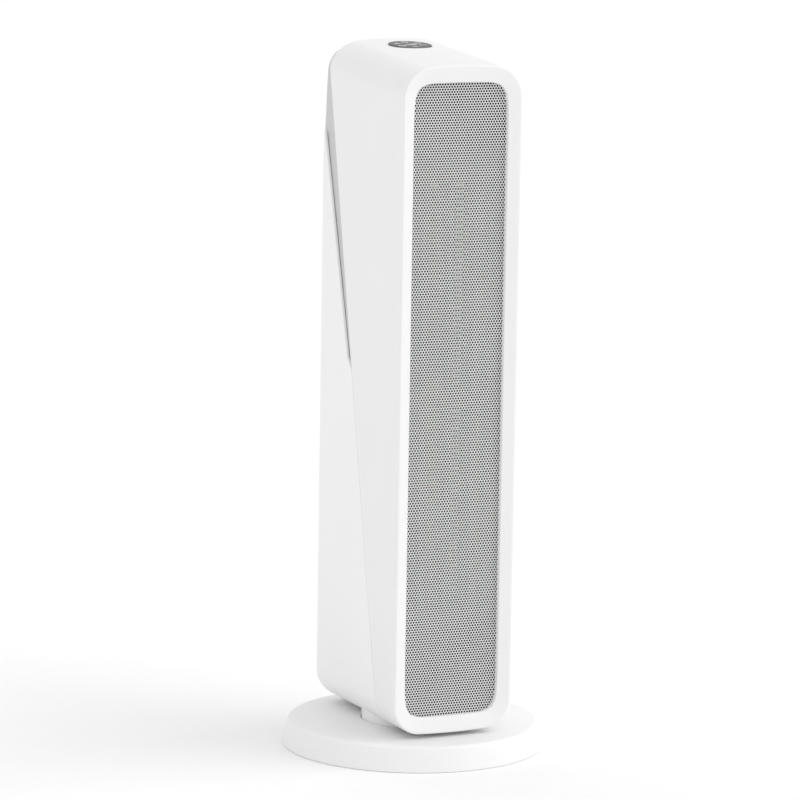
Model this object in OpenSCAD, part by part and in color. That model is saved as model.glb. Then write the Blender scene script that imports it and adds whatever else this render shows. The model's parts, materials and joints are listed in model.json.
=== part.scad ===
// Ceramic tower heater: an oscillating tower on a round foot.
// Origin: centre of the foot on the floor, which is also the swivel axis.
// +Z up, the air outlet faces -Y. Millimetres.

/* [Tower] */
// Width of the tower
body_w = 111; // [106:1:116]
// From the swivel axis to the front face
front_reach = 80; // [76:1:84]
// From the swivel axis to the rear face
rear_reach = 91; // [88:1:94]
// Lowest point of the tower above the floor
body_bottom = 26.5; // [26:0.5:30]
// Height of the front face's top edge above the floor
front_top = 602; // [590:1:620]
// Forward slope of the top in degrees
top_slope = 4.5; // [4:0.5:6]
// Radius of the front view's corners
corner_r = 24; // [20:1:28]
// Radius of the crowned top and underside
crown_r = 300; // [300:10:300]
// Radius of the upright rear edges
edge_r = 10; // [8:1:12]
// Radius of the edge between top and rear
crest_r = 12; // [10:1:28]
// Radius of the edge between underside and rear
heel_r = 12; // [10:1:16]
// Height at which the rear starts to lean forward
lean_from = 498; // [480:1:510]
// Radius of that lean
lean_r = 400; // [280:10:400]
// Wall of the white shells
wall = 2.5; // [2:0.1:3]

/* [Seams] */
// Angle of the side seam from upright
seam_angle = 11.9; // [11:0.1:13]
// Where the seam meets the underside, behind the axis when positive
seam_foot = -47; // [-50:1:-44]
// Height of the lower end of the side slot
slot_low = 331; // [300:1:350]
// Width of the slot's lower end
slot_low_w = 7.5; // [6:0.5:10]
// Width of the slot where the rear cover ends
slot_top_w = 20; // [16:0.5:24]
// Height of the rear cover's top edge
cover_top = 533; // [530:1:536]

/* [Outlet] */
// Width of the outlet opening
outlet_w = 88; // [84:1:90]
// Lower edge of the outlet opening
outlet_low = 41; // [40:1:46]
// Upper edge of the outlet opening
outlet_high = 587; // [570:1:588]
// Corner radius of the outlet opening
outlet_r = 19; // [14:1:22]
// Depth of the bezel
bezel_d = 4; // [3:0.5:5]
// Thickness of the grille sheet
grille_t = 0.8; // [0.6:0.1:1]

/* [Base] */
// Radius of the base at the floor
base_r = 116; // [114:1:120]
// Radius of the base's top face
base_top_r = 110; // [106:1:112]
// Height of the base
base_h = 22; // [22:0.5:23]
// Radius of the swivel neck
neck_r = 45; // [44:0.5:46]

/* [Controls] */
// Radius of the touch disc
disc_r = 19; // [16:0.5:20]
// Distance of the touch disc behind the axis
disc_y = 31; // [28:1:32]

/* [Blower] */
// Radius of the blower wheel
wheel_r = 34; // [30:1:35]
// Length of the blower wheel
wheel_h = 360; // [300:10:370]
// Number of blades
blades = 24; // [12:1:30]

/* [Swing gears] */
// Gear module
gear_m = 1; // [1:0.05:1.1]
// Teeth of the fixed gear
sun_teeth = 36; // [36:4:40]
// Teeth of the pinion
pinion_teeth = 12; // [12:1:12]

/* [Hidden] */
$fn = 96;

white = "#f2f2f1";
grey = "#c9cacb";
dark = "#4a4c4f";
steel = "#a9adb2";
far = 800;                               // reach of a cutting block
half_w = body_w / 2;
housing_gap = 0.7;                       // between the white shells and the inner housing
housing_t = 2.2;                         // wall of the inner housing
housing_in = wall + housing_gap;         // inset of the inner housing's outside
housing_back = housing_in + housing_t;   // inset of the inner housing's inside
hair = 0.3;                              // half width of the seam

// Centres that shape the outline
corner_x = half_w - corner_r;
corner_drop = crown_r - sqrt(pow(crown_r - corner_r, 2) - pow(corner_x, 2));
lean_c = [rear_reach - lean_r, lean_from];
slope_n = [-sin(top_slope), cos(top_slope)];
slope_d = [cos(top_slope), sin(top_slope)];
crest_line = [-front_reach, front_top] - crest_r * slope_n;
crest_w = crest_line - lean_c;
crest_t = -(crest_w * slope_d)
    + sqrt(pow(crest_w * slope_d, 2) - crest_w * crest_w + pow(lean_r - crest_r, 2));
crest_c = crest_line + crest_t * slope_d;
crest_dir = (crest_c - lean_c) / (lean_r - crest_r);

function top_z(y) = front_top + (y + front_reach) * tan(top_slope);
function seam_y(z) = seam_foot + (z - body_bottom) * tan(seam_angle);
function lean_back(z) = z < lean_from ? 0 : lean_r - sqrt(pow(lean_r, 2) - pow(z - lean_from, 2));

// Blower and heater
wheel_y = 20;
wheel_z = 128;
shaft_r = 3;
core_y = [-62, -40];
core_w = 76;
core_z = [132, 322];
core_h = 178;
frame_z = [118, 514];
duct_y = core_y[1] + 2;                  // where the blower's duct meets the heater frame
scroll_z = [wheel_z - 6, wheel_z + wheel_h + 6];
bearing_z = scroll_z[1] + 2;
motor_z = 66;
side_in = half_w - housing_back;         // half the clear width inside the housing

// Swivel
plate_z = 2;
plate_t = 3;
flange_z = 14;
flange_t = 3;
flange_r = 54;
post_r = 15;
post_bore = 8;
run_gap = 0.05;
hole_gap = 0.8;
gear_z = 18.5;
gear_h = 5;
gear_centres = gear_m * (sun_teeth + pinion_teeth) / 2 + 0.1;
floor_z = 36;
floor_t = 3;
neck_top = floor_z - floor_t;
motor_a = -90;
neck_screw_a = [45, 135, 225, 315];
neck_screw_r = 37;
base_screw_a = [45, 135, 225, 315];
base_screw_r = 106;
lead_r = 3.1;
lead_z = 8.7;
tip_x = -80;
pocket = [70, 18, 30];                   // grip pocket: width, depth, height
pocket_z = 545;
disc_sink = 1.5;                         // the touch disc's recess
board_sink = 7;                          // top of the control board below the crest line
intake_w = 72;
intake_z = [112, 476];
panel_t = 3;
rocker_z = 74;
screw_spots = [for (z = [96, 300, 488], s = [-1, 1]) [s * 42, z]];

module along_x(w) {
    rotate([90, 0, 90])
        linear_extrude(w, center = true)
            children();
}

module along_y(from, to) {
    translate([0, to, 0])
        rotate([90, 0, 0])
            linear_extrude(to - from)
                children();
}

module slab_y(from, to) {
    translate([-far / 2, from, -far])
        cube([far, to - from, 3 * far]);
}

module rounded(w, h, r) {
    square([w - 2 * r, h], center = true);
    square([w, h - 2 * r], center = true);
    for (sx = [-1, 1], sy = [-1, 1])
        translate([sx * (w / 2 - r), sy * (h / 2 - r)])
            circle(r);
}

// Crowned top of the front view, its highest point at the origin when inset is 0
module arch(inset) {
    reach = (crown_r + 5) / (crown_r - corner_r);
    translate([-(half_w - inset), -far])
        square([2 * (half_w - inset), far - corner_drop]);
    for (s = [-1, 1])
        translate([s * corner_x, -corner_drop])
            circle(corner_r - inset);
    intersection() {
        translate([0, -crown_r])
            circle(crown_r - inset, $fn = 360);
        polygon([[-corner_x, -corner_drop],
            [-corner_x * reach, -crown_r + (crown_r - corner_drop) * reach],
            [corner_x * reach, -crown_r + (crown_r - corner_drop) * reach],
            [corner_x, -corner_drop]]);
    }
}

module front_view(inset) {
    intersection() {
        translate([0, front_top])
            arch(inset);
        translate([0, body_bottom])
            mirror([0, 1])
                arch(inset);
    }
}

// Side view of the tower, y to the right and z up
module side_view(inset, front) {
    y0 = -front_reach - front;
    crest_top = crest_c + (crest_r - inset) * slope_n;
    intersection() {
        union() {
            translate([y0, body_bottom + heel_r])
                square([rear_reach - inset - y0, lean_from - body_bottom - heel_r]);
            translate([y0, body_bottom + inset])
                square([rear_reach - heel_r - y0, lean_from - body_bottom - inset]);
            translate([rear_reach - heel_r, body_bottom + heel_r])
                circle(heel_r - inset);
            intersection() {
                translate(lean_c)
                    circle(lean_r - inset, $fn = 360);
                polygon([lean_c, lean_c + [lean_r + 9, 0],
                    lean_c + (lean_r + 9) * crest_dir]);
            }
            polygon([[0, lean_from - 20], crest_c, crest_top,
                [y0, crest_top[1] - (crest_top[0] - y0) * tan(top_slope)],
                [y0, lean_from - 20]]);
            translate(crest_c)
                circle(crest_r - inset);
        }
        translate([y0, 0])
            square([far, far]);
    }
}

module plan_view(inset) {
    translate([-(half_w - inset), -far])
        square([2 * (half_w - inset), far + rear_reach - edge_r]);
    translate([-(half_w - edge_r), -far])
        square([2 * (half_w - edge_r), far + rear_reach - inset]);
    for (s = [-1, 1])
        translate([s * (half_w - edge_r), rear_reach - edge_r])
            circle(edge_r - inset);
}

// The tower's outside moved inwards by inset; front moves its front plane forward
module envelope(inset, front = 0) {
    intersection() {
        along_x(body_w + 10)
            side_view(inset, front);
        translate([0, -front_reach, front_top])
            rotate([top_slope, 0, 0])
                along_y(-60, 260)
                    arch(inset);
        translate([0, 0, body_bottom])
            mirror([0, 0, 1])
                along_y(-front_reach - 60, rear_reach + 20)
                    arch(inset);
        linear_extrude(far)
            plan_view(inset);
    }
}

module ring_wall(outer, inner) {
    difference() {
        envelope(outer);
        envelope(inner, 20);
    }
}

// Everything behind the seam, moved back by shift
module behind_seam(shift) {
    low = seam_y(0) + shift;
    high = seam_y(far) + shift;
    along_x(body_w + 20)
        polygon([[low, 0], [far, 0], [far, far], [high, far]]);
}

// Side view of what the rear cover covers
module cover_area() {
    top_edge = seam_y(cover_top) + slot_top_w;
    low_edge = seam_y(slot_low + 10) + slot_low_w;
    along_x(body_w + 20)
        polygon([[seam_y(0) + hair, 0], [seam_y(slot_low) + hair, slot_low],
            [low_edge, slot_low + 10], [top_edge, cover_top - 3],
            [top_edge + 3, cover_top], [far, cover_top], [far, 0]]);
}

module outlet(grow) {
    translate([0, (outlet_low + outlet_high) / 2])
        rounded(outlet_w + 2 * grow, outlet_high - outlet_low + 2 * grow, outlet_r + grow);
}

// Places things on the sloped top, sunk below its crest line
module on_top(y, sink) {
    translate([0, y, top_z(y)])
        rotate([top_slope, 0, 0])
            translate([0, 0, -sink])
                children();
}

// A screw along +Z: its seat at the origin, head above it
module screw(d, length, head_r, head_h) {
    color(steel) {
        translate([0, 0, -length])
            cylinder(r = d / 2, h = length, $fn = 24);
        difference() {
            cylinder(r = head_r, h = head_h, $fn = 32);
            for (a = [0, 90])
                rotate(a)
                    translate([-head_r * 0.6, -0.4, head_h - 1])
                        cube([head_r * 1.2, 0.8, 2]);
        }
    }
}

// Outline of a spur gear with straight-sided teeth and a little backlash
module gear_outline(teeth, m) {
    pitch = m * teeth / 2;
    tip = pitch + 0.85 * m;
    root = pitch - 1.15 * m;
    step = 360 / teeth;
    tip_a = step * 0.09;
    mid_a = step * 0.215;
    root_a = step * 0.36;
    polygon([for (i = [0 : teeth - 1], p = [[root, -root_a], [pitch, -mid_a], [tip, -tip_a],
        [tip, tip_a], [pitch, mid_a], [root, root_a]])
            p[0] * [cos(i * step + p[1]), sin(i * step + p[1])]]);
}

// ---- Base ----

module base_profile() {
    lip = 4;                             // radius of the top edge
    slant = atan((base_r - base_top_r) / base_h);
    edge_x = base_top_r - lip * tan((90 - slant) / 2);
    polygon([[0, 1.5], [base_r - 1.5 * tan(slant), 1.5],
        [edge_x + lip * cos(slant), base_h - lip + lip * sin(slant)],
        [edge_x, base_h - lip], [edge_x, base_h], [0, base_h]]);
    translate([edge_x, base_h - lip])
        circle(lip);
}

module base_cover() {
    top_t = 3;
    color(white)
        difference() {
            rotate_extrude($fn = 180)
                intersection() {
                    base_profile();
                    square([base_r + 5, base_h]);
                }
            translate([0, 0, -1])
                cylinder(r1 = base_r - 2.8, r2 = base_top_r - 2.8, h = base_h - top_t + 1, $fn = 180);
            cylinder(r = neck_r + hole_gap, h = base_h + 5, $fn = 120);
            translate([0, base_r + 5, lead_z])
                rotate([90, 0, 0]) {
                    cylinder(r = 6, h = 20, $fn = 48);
                    cylinder(r = 6.8, h = 8.2, $fn = 48);
                }
        }
    color(white)
        for (a = base_screw_a)
            rotate(a)
                translate([base_screw_r, 0, plate_z + plate_t])
                    difference() {
                        cylinder(r = 3.5, h = base_h - top_t - plate_z - plate_t, $fn = 32);
                        cylinder(r = 1.5, h = 12, $fn = 24);
                    }
}

module base_plate() {
    color(dark)
        difference() {
            union() {
                translate([0, 0, plate_z])
                    cylinder(r = base_r - 5.2, h = plate_t, $fn = 180);
                translate([0, 0, plate_z])
                    difference() {
                        cylinder(r = flange_r + 1, h = flange_z - plate_z - 2, $fn = 120);
                        translate([0, 0, -1])
                            cylinder(r = flange_r - 8, h = 30, $fn = 120);
                    }
            }
            for (a = base_screw_a)
                rotate(a)
                    translate([base_screw_r, 0, 0])
                        cylinder(r = 1.8, h = 10, $fn = 32);
            translate([tip_x, 0, 0])
                cylinder(r = 5.3, h = 10, $fn = 48);
            translate([-4.5, 0, plate_z + plate_t])
                cube([9, flange_r + 5, 20]);
            // notch round the lead bush
            translate([-7.5, base_r - 12, 0])
                cube([15, 20, 10]);
        }
}

module rubber_feet() {
    color("#2b2b2c")
        for (a = [0 : 60 : 300])
            rotate(a + 30)
                translate([92, 0, 0])
                    cylinder(r1 = 7, r2 = 8, h = plate_z, $fn = 48);
}

module base_screws() {
    for (a = base_screw_a)
        rotate(a)
            translate([base_screw_r, 0, plate_z])
                rotate([180, 0, 0])
                    screw(2.8, 13, 3, 1.2);
}

module ballast_ring() {
    color(steel)
        difference() {
            translate([0, 0, plate_z + plate_t])
                cylinder(r = 101, h = 6, $fn = 180);
            cylinder(r = 61, h = 30, $fn = 120);
            translate([-5, 0, 0])
                cube([10, 120, 30]);
            translate([tip_x - 12, -12, 0])
                cube([24, 24, 30]);
        }
}

module pivot_post() {
    color(grey)
        difference() {
            union() {
                translate([0, 0, plate_z + plate_t])
                    cylinder(r = 22, h = 3, $fn = 96);
                translate([0, 0, plate_z + plate_t])
                    cylinder(r = post_r, h = gear_z - plate_z - plate_t, $fn = 96);
                translate([0, 0, plate_z + plate_t])
                    cylinder(r = 11, h = 23, $fn = 96);
            }
            translate([0, 0, plate_z])
                cylinder(r = post_bore, h = 40, $fn = 64);
            translate([-4.5, 0, plate_z + plate_t - 1])
                cube([9, 40, 9]);
        }
}

module fixed_swing_gear() {
    color("#e8e4d8")
        translate([0, 0, gear_z])
            difference() {
                linear_extrude(gear_h)
                    rotate(-90 + 180 / sun_teeth)
                        gear_outline(sun_teeth, gear_m);
                translate([0, 0, -1])
                    cylinder(r = 11.05, h = gear_h + 2, $fn = 96);
            }
}

module glide_ring() {
    color("#e9e7df")
        translate([0, 0, flange_z - 2])
            difference() {
                cylinder(r = flange_r, h = 2 - 0.05, $fn = 120);
                translate([0, 0, -1])
                    cylinder(r = flange_r - 6, h = 4, $fn = 120);
            }
}

module base_lead() {
    bend = 10;
    color("#e6e6e4") {
        translate([0, 98, lead_z])
            rotate([90, 0, 0])
                cylinder(r = lead_r, h = 98 - bend, $fn = 32);
        translate([0, bend, lead_z + bend])
            rotate([90, 0, -90])
                intersection() {
                    rotate_extrude($fn = 64)
                        translate([bend, 0])
                            circle(lead_r, $fn = 32);
                    translate([0, -20, -5])
                        cube([20, 20, 10]);
                }
        translate([0, 0, lead_z + bend])
            cylinder(r = lead_r, h = 12, $fn = 32);
    }
}

module cord_inlet() {
    color("#dededc")
        translate([0, base_r - 1, lead_z])
            rotate([90, 0, 0])
                difference() {
                    union() {
                        cylinder(r = 6.6, h = 2, $fn = 64);
                        cylinder(r = 5.9, h = 8, $fn = 64);
                    }
                    translate([0, 0, -1])
                        cylinder(r = 3.6, h = 16, $fn = 48);
                }
}

module tip_switch() {
    color("#333437")
        difference() {
            translate([tip_x - 10, -6, plate_z + plate_t + 7])
                cube([20, 12, 6.5]);
            translate([tip_x, 0, 0])
                cylinder(r = 2.3, h = plate_z + plate_t + 12, $fn = 32);
        }
    color("#333437")
        for (s = [-1, 1])
            translate([tip_x + s * 8.5 - 1.5, -6, plate_z + plate_t])
                cube([3, 12, 7]);
}

module tip_plunger() {
    color("#b8bab9") {
        translate([tip_x, 0, 0])
            cylinder(r = 5, h = plate_z + plate_t + 0.4, $fn = 48);
        translate([tip_x, 0, plate_z + plate_t])
            cylinder(r = 2, h = 11, $fn = 32);
    }
}

module tip_spring() {
    turns = 4;
    color(steel)
        for (i = [0 : turns - 1])
            translate([tip_x, 0, plate_z + plate_t + 1 + i * 1.5])
                rotate_extrude($fn = 48)
                    translate([3.2, 0])
                        circle(0.35, $fn = 16);
}

// ---- Swivel ----

module swivel_neck() {
    color(white)
        difference() {
            union() {
                translate([0, 0, flange_z])
                    cylinder(r = flange_r, h = flange_t, $fn = 120);
                translate([0, 0, flange_z])
                    cylinder(r = neck_r, h = neck_top - flange_z, $fn = 120);
            }
            translate([0, 0, flange_z + flange_t])
                cylinder(r = neck_r - 3, h = 30, $fn = 120);
            cylinder(r = post_r + run_gap, h = 40, $fn = 96);
        }
    color(white)
        for (a = neck_screw_a)
            rotate(a)
                translate([neck_screw_r, 0, flange_z + 1])
                    difference() {
                        cylinder(r = 4.2, h = neck_top - flange_z - 1, $fn = 32);
                        translate([0, 0, flange_t + 1])
                            cylinder(r = 1.3, h = 30, $fn = 24);
                    }
}

module neck_screws() {
    for (a = neck_screw_a)
        rotate(a)
            translate([neck_screw_r, 0, floor_z])
                screw(2.5, 11, 3.4, 2);
}

module swing_motor() {
    color(steel)
        rotate(motor_a)
            translate([gear_centres, 0, gear_z + gear_h + 3.5])
                difference() {
                    union() {
                        cylinder(r = 11, h = 17, $fn = 64);
                        translate([0, 0, -1.5])
                            cylinder(r = 4, h = 1.5, $fn = 32);
                        translate([-4, -14, 15])
                            cube([8, 28, 2]);
                    }
                    translate([0, 0, -2])
                        cylinder(r = 1.5 + run_gap, h = 10, $fn = 32);
                }
}

module swing_bracket() {
    z = gear_z + gear_h + 20.5;
    color(grey)
        rotate(motor_a)
            difference() {
                union() {
                    translate([gear_centres - 16, -21, z])
                        cube([32, 42, 2.5]);
                    for (s = [-1, 1])
                        translate([gear_centres - 8, s * 18 - 3, floor_z])
                            cube([16, 6, z - floor_z]);
                }
                translate([gear_centres, 0, z - 1])
                    cylinder(r = 6, h = 6, $fn = 48);
            }
}

module swing_pinion() {
    color("#e8e4d8")
        rotate(motor_a)
            translate([gear_centres, 0, gear_z]) {
                linear_extrude(gear_h)
                    rotate(180)
                        gear_outline(pinion_teeth, gear_m);
                cylinder(r = 2.5, h = gear_h + 1.6, $fn = 32);
                cylinder(r = 1.5, h = gear_h + 9, $fn = 32);
            }
}

// ---- Tower shells ----

module inner_housing() {
    front_lap = -16;
    color(grey)
        difference() {
            union() {
                difference() {
                    intersection() {
                        ring_wall(housing_in, housing_back);
                        behind_seam(front_lap);
                    }
                    // air way behind the intake panel
                    translate([-intake_w / 2 + 2, rear_reach - 20, intake_z[0] + 2])
                        cube([intake_w - 4, 30, intake_z[1] - intake_z[0] - 4]);
                }
                // floor that the neck is screwed to
                intersection() {
                    envelope(housing_in);
                    translate([-half_w, -50, neck_top])
                        cube([body_w, 160, floor_t]);
                }
                // back wall and sides of the grip pocket
                intersection() {
                    envelope(housing_in);
                    translate([-pocket[0] / 2 - 2, 76 - pocket[1] - 2, pocket_z - 2])
                        cube([pocket[0] + 4, 60, pocket[2] + 4]);
                }
            }
            translate([-pocket[0] / 2, 76 - pocket[1], pocket_z])
                cube([pocket[0], 60, pocket[2]]);
            // room for the neck, the lead and the swing motor
            translate([0, 0, neck_top - 10])
                cylinder(r = neck_r + hole_gap, h = 10, $fn = 120);
            translate([0, 0, neck_top - 1])
                cylinder(r = 10, h = 10, $fn = 64);
            rotate(motor_a)
                translate([gear_centres, 0, neck_top - 1])
                    cylinder(r = 12.5, h = 10, $fn = 64);
            for (a = neck_screw_a)
                rotate(a)
                    translate([neck_screw_r, 0, neck_top - 1])
                        cylinder(r = 1.6, h = 10, $fn = 24);
            translate([-14, rear_reach - 12, rocker_z - 10.5])
                cube([28, 20, 21]);
            for (p = screw_spots)
                translate([p[0], rear_reach - 12, p[1]])
                    rotate([-90, 0, 0])
                        cylinder(r = 1.4, h = 20, $fn = 24);
        }
}

module front_shell() {
    color(white)
        difference() {
            union() {
                ring_wall(0, wall);
                // posts for the control board
                for (x = [-26, 26], y = [-21, 15])
                    on_top(disc_y, board_sink)
                        translate([x, y, 0])
                            cylinder(r = 2.5, h = board_sink - wall, $fn = 32);
            }
            behind_seam(-hair);
            slab_y(-front_reach - 10, -front_reach + bezel_d);
            on_top(disc_y, disc_sink)
                cylinder(r = disc_r + 0.1, h = 10, $fn = 120);
        }
}

module front_bezel() {
    back = -front_reach + bezel_d;
    lip_d = 8;
    color(white) {
        difference() {
            envelope(0);
            slab_y(back, rear_reach + 50);
            along_y(-front_reach - 10, back + 10)
                outlet(0);
        }
        // lip that holds the bezel inside the front shell
        along_y(back - 1, back + lip_d)
            difference() {
                front_view(wall + 0.2);
                front_view(wall + 1.9);
            }
    }
}

module front_grille() {
    color("#d7d7d5")
        along_y(-front_reach + bezel_d, -front_reach + bezel_d + grille_t)
            outlet(2.5);
}

module rear_cover() {
    color(white)
        difference() {
            intersection() {
                ring_wall(0, wall);
                cover_area();
            }
            translate([-intake_w / 2 - 0.4, rear_reach - 20, intake_z[0] - 0.4])
                cube([intake_w + 0.8, 40, intake_z[1] - intake_z[0] + 0.8]);
            translate([0, 0, 10])
                cylinder(r = neck_r + hole_gap, h = 30, $fn = 120);
            translate([-14, rear_reach - 12, rocker_z - 10.5])
                cube([28, 20, 21]);
            for (p = screw_spots)
                translate([p[0], rear_reach - lean_back(p[1]), p[1]])
                    rotate([-90, 0, 0]) {
                        translate([0, 0, -10])
                            cylinder(r = 1.7, h = 20, $fn = 24);
                        translate([0, 0, -1.2])
                            cylinder(r = 3.2, h = 20, $fn = 32);
                    }
        }
}

module cover_screws() {
    for (p = screw_spots)
        translate([p[0], rear_reach - lean_back(p[1]) - 1.2, p[1]])
            rotate([-90, 0, 0])
                screw(2.6, 9, 2.8, 1);
}

module intake_panel() {
    slat = 7;
    rows = floor((intake_z[1] - intake_z[0] - 16) / slat);
    color(white)
        difference() {
            union() {
                translate([-intake_w / 2, rear_reach - panel_t, intake_z[0]])
                    cube([intake_w, panel_t, intake_z[1] - intake_z[0]]);
                for (s = [-1, 1])
                    translate([s * 20 - 6, rear_reach - panel_t - 5, intake_z[0] + 2.6])
                        cube([12, 6, 2]);
            }
            for (i = [0 : rows - 1], s = [-1, 1])
                translate([s > 0 ? 2 : -intake_w / 2 + 6, rear_reach - panel_t - 1,
                    intake_z[0] + 9 + i * slat])
                    cube([intake_w / 2 - 8, panel_t + 2, slat - 3]);
            translate([0, rear_reach + 1, intake_z[1]])
                rotate([90, 0, 0])
                    cylinder(r = 9, h = 2.5, $fn = 64);
        }
}

module dust_filter() {
    color("#3b3d40")
        translate([-intake_w / 2 + 4, rear_reach - panel_t - 1.6, intake_z[0] + 7])
            cube([intake_w - 8, 1.6, intake_z[1] - intake_z[0] - 14]);
}

module rocker_frame() {
    color(dark)
        difference() {
            union() {
                translate([-16, rear_reach, rocker_z - 12.5])
                    cube([32, 1.2, 25]);
                translate([-13.5, rear_reach - 16, rocker_z - 10])
                    cube([27, 16, 20]);
            }
            translate([-10.5, rear_reach - 9, rocker_z - 7])
                cube([21, 20, 14]);
            translate([-12, rear_reach - 1.5, rocker_z])
                rotate([0, 90, 0])
                    cylinder(r = 1.2 + run_gap, h = 24, $fn = 32);
        }
}

module mains_rocker() {
    color("#2f3133")
        translate([0, rear_reach - 1.5, rocker_z])
            rotate([-8, 0, 0])
                rotate([0, 90, 0]) {
                    difference() {
                        cylinder(r = 6.6, h = 20, center = true, $fn = 96);
                        translate([0, 12.5, 0])
                            cylinder(r = 9.5, h = 30, center = true, $fn = 96);
                    }
                    cylinder(r = 1.2, h = 23.4, center = true, $fn = 32);
                }
}

// ---- Heater and blower ----

module heater_frame() {
    w = core_w + 10;
    d = core_y[1] - core_y[0] + 4;
    baffle_y = core_y[0] + 9;
    duct_front = -front_reach + bezel_d + grille_t + 0.5;
    duct_in = wall + 3.3;
    color("#2e2e30")
        difference() {
            union() {
                translate([-w / 2, core_y[0] - 2, frame_z[0]])
                    cube([w, d, frame_z[1] - frame_z[0]]);
                translate([-half_w + wall + 0.2, baffle_y, frame_z[0]])
                    cube([body_w - 2 * wall - 0.4, 2.5, frame_z[1] - frame_z[0]]);
                // baffle over the whole outlet, and the duct from it to the grille
                along_y(baffle_y, baffle_y + 2.5)
                    front_view(duct_in);
                along_y(duct_front, baffle_y + 1)
                    difference() {
                        front_view(duct_in);
                        front_view(duct_in + 1.5);
                    }
            }
            for (z = core_z)
                translate([-core_w / 2, core_y[0] - 4, z])
                    cube([core_w, d + 4, core_h]);
        }
}

module heater_core(z) {
    strips = 3;
    pitch = 5;
    depth = core_y[1] - core_y[0];
    fins = floor(core_h / pitch);
    color("#38383a")
        union() {
            for (i = [0 : fins - 1])
                translate([-core_w / 2 + 1, core_y[0] + 3, z + 2 + i * pitch])
                    cube([core_w - 2, depth - 6, 0.8]);
            for (i = [-1 : strips - 2])
                translate([i * 24 - 3, core_y[0], z])
                    cube([6, depth, core_h]);
            for (s = [-1, 1])
                translate([s * (core_w / 2 - 1) - 1, core_y[0], z])
                    cube([2, depth, core_h]);
        }
}

module heater_core_lower() {
    heater_core(core_z[0]);
}

module heater_core_upper() {
    heater_core(core_z[1]);
}

module thermal_cutout() {
    color("#b9a46a")
        translate([-16, core_y[0] + 18, frame_z[1]]) {
            cylinder(r = 6, h = 4, $fn = 48);
            translate([-12, -2.5, 0])
                cube([24, 5, 1.2]);
        }
}

module thermostat() {
    color("#3a2f28")
        translate([18, core_y[0] + 20, frame_z[1]]) {
            cylinder(r = 8, h = 7, $fn = 48);
            translate([-14, -3, 0])
                cube([28, 6, 1.2]);
        }
}

module scroll_housing() {
    in_r = wheel_r + 4;
    out_r = in_r + 2;
    duct = wheel_y - duct_y;
    color(grey) {
        translate([0, wheel_y, scroll_z[0]])
            linear_extrude(scroll_z[1] - scroll_z[0]) {
                // guide wall round the left side
                intersection() {
                    difference() {
                        circle(out_r, $fn = 160);
                        circle(in_r, $fn = 160);
                    }
                    polygon([[0, 0], [-30, 60], [-60, 60], [-60, 0]]);
                }
                translate([-out_r, -duct])
                    square([2, duct]);
                // tongue at the right of the outlet
                translate([in_r, -duct])
                    square([2, duct - 14]);
                translate([in_r - 3, -18])
                    square([5, 4]);
            }
        for (z = [scroll_z[0] - 2, scroll_z[1]])
            translate([0, 0, z])
                linear_extrude(2)
                    difference() {
                        translate([-side_in + 0.2, duct_y])
                            square([2 * side_in - 0.4, 61.5 - duct_y]);
                        translate([0, wheel_y])
                            circle(8, $fn = 48);
                    }
    }
}

module blower_wheel() {
    blade_t = 1;
    ring_d = 9;
    disc_t = 2;
    color("#5c6064") {
        translate([0, wheel_y, wheel_z])
            linear_extrude(wheel_h)
                for (i = [0 : blades - 1])
                    rotate(i * 360 / blades)
                        translate([wheel_r - ring_d, -blade_t / 2])
                            rotate(20)
                                square([ring_d - 1, blade_t]);
        for (k = [0 : 3])
            translate([0, wheel_y, wheel_z + k * (wheel_h - disc_t) / 3])
                difference() {
                    cylinder(r = wheel_r, h = disc_t, $fn = 120);
                    translate([0, 0, -1])
                        cylinder(r = k == 0 || k == 3 ? shaft_r : wheel_r - ring_d - 1.5,
                            h = disc_t + 2, $fn = 64);
                }
    }
}

module blower_shaft() {
    color(steel)
        translate([0, wheel_y, motor_z + 34])
            cylinder(r = shaft_r, h = bearing_z + 10 - motor_z - 34, $fn = 48);
}

module blower_motor() {
    color("#8b8f94")
        translate([0, wheel_y, motor_z])
            difference() {
                union() {
                    cylinder(r = 24, h = 40, $fn = 96);
                    translate([0, 0, 8])
                        cylinder(r = 30, h = 24, $fn = 96);
                    translate([0, 0, 40])
                        cylinder(r = 9, h = 8, $fn = 64);
                }
                translate([0, 0, 32])
                    cylinder(r = shaft_r + run_gap, h = 20, $fn = 48);
            }
}

module motor_bracket() {
    color(steel)
        difference() {
            translate([-side_in + 0.2, wheel_y - 32, motor_z - 3])
                cube([2 * side_in - 0.4, 64, 3]);
            translate([0, wheel_y, motor_z - 6])
                cylinder(r = 12, h = 10, $fn = 64);
        }
}

module upper_bearing() {
    color("#b08d57")
        translate([0, wheel_y, bearing_z])
            difference() {
                cylinder(r = 6, h = 6, $fn = 64);
                translate([0, 0, -1])
                    cylinder(r = shaft_r + run_gap, h = 8, $fn = 48);
            }
}

module bearing_bracket() {
    color(steel)
        difference() {
            translate([-side_in + 0.2, wheel_y - 12, bearing_z])
                cube([2 * side_in - 0.4, 24, 5]);
            translate([0, wheel_y, bearing_z - 1])
                cylinder(r = 6, h = 8, $fn = 64);
        }
}

// ---- Controls and wiring ----

module control_disc() {
    color(dark)
        on_top(disc_y, disc_sink)
            cylinder(r = disc_r, h = disc_sink + 0.3, $fn = 120);
}

module control_board() {
    color("#2f6b45")
        on_top(disc_y, board_sink + 1.6)
            translate([-30, -25, 0])
                cube([60, 44, 1.6]);
    color("#222325")
        on_top(disc_y, board_sink)
            translate([-14, -14, 0])
                cube([28, 28, 3]);
}

module power_board() {
    color("#2f6b45")
        translate([-34, 66, floor_z])
            cube([68, 1.6, 62]);
    color("#222325") {
        translate([-30, 54, 44])
            cube([18, 12, 16]);
        translate([4, 56, 68])
            cube([20, 10, 20]);
    }
    color(steel)
        translate([-6, 56, 70])
            cube([6, 10, 24]);
}

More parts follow.
